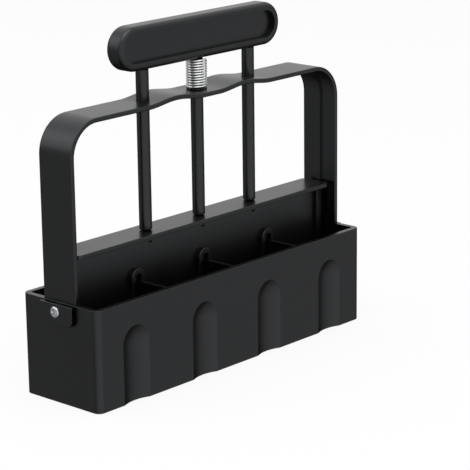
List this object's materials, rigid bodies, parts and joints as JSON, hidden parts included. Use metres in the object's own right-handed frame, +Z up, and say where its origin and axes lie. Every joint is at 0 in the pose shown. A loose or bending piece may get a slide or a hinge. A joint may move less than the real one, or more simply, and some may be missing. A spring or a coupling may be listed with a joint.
{
  "type": "soil blocker",
  "caption": "Hand tool that forms potting-soil blocks: an open row of square cells under a strap frame, with a sprung plunger of rods, bridge, press plates and dibbers below a bar handle.",
  "frame": {"origin": "centre of the mould's bottom rim, on the surface it stands on", "axes": "+Z up along the rods, +X along the row of cells, -Y towards the handle's recessed face"},
  "size_m": [0.2284, 0.0574, 0.198],
  "materials": {
    "mould_plastic": "satin moulded",
    "strap_plastic": "satin moulded",
    "clip_plastic": "satin moulded",
    "handle_plastic": "satin moulded",
    "bridge_plastic": "satin moulded",
    "plate_plastic": "matte moulded",
    "rod_black": "satin black coated",
    "seat_black": "matte moulded",
    "spring_steel": "bright plated wire",
    "screw_steel": "bright plated",
    "insert_brass": "turned"
  },
  "bodies": {
    "frame": {"mould_box": "mould_plastic", "frame_strap": "strap_plastic", "side_clip_left": "clip_plastic", "side_clip_right": "clip_plastic", "side_screw_left": "screw_steel", "side_screw_right": "screw_steel", "side_insert_left": "insert_brass", "side_insert_right": "insert_brass"},
    "spring_carrier": {"spring_seat": "seat_black", "spring": "spring_steel"},
    "plunger": {"rod_left": "rod_black", "rod_mid": "rod_black", "rod_right": "rod_black", "rod_pin_left": "rod_black", "rod_pin_mid": "rod_black", "rod_pin_right": "rod_black", "handle_screw_left": "screw_steel", "handle_screw_mid": "screw_steel", "handle_screw_right": "screw_steel", "handle": "handle_plastic", "bridge": "bridge_plastic", "press_plate_1": "plate_plastic", "dibber_1": "plate_plastic", "dibber_screw_1": "screw_steel", "press_plate_2": "plate_plastic", "dibber_2": "plate_plastic", "dibber_screw_2": "screw_steel", "press_plate_3": "plate_plastic", "dibber_3": "plate_plastic", "dibber_screw_3": "screw_steel", "press_plate_4": "plate_plastic", "dibber_4": "plate_plastic", "dibber_screw_4": "screw_steel"}
  },
  "joints": [
    {"name": "lift_slide", "type": "slide", "parent": "frame", "child": "spring_carrier", "axis": [0, 0, 1], "range_m": [0, 0.033]},
    {"name": "press_slide", "type": "slide", "parent": "spring_carrier", "child": "plunger", "axis": [0, 0, 1], "range_m": [-0.0035, 0], "stiffness_N_per_m": 1500, "springref_m": 0.003, "deforming": ["spring"]}
  ]
}
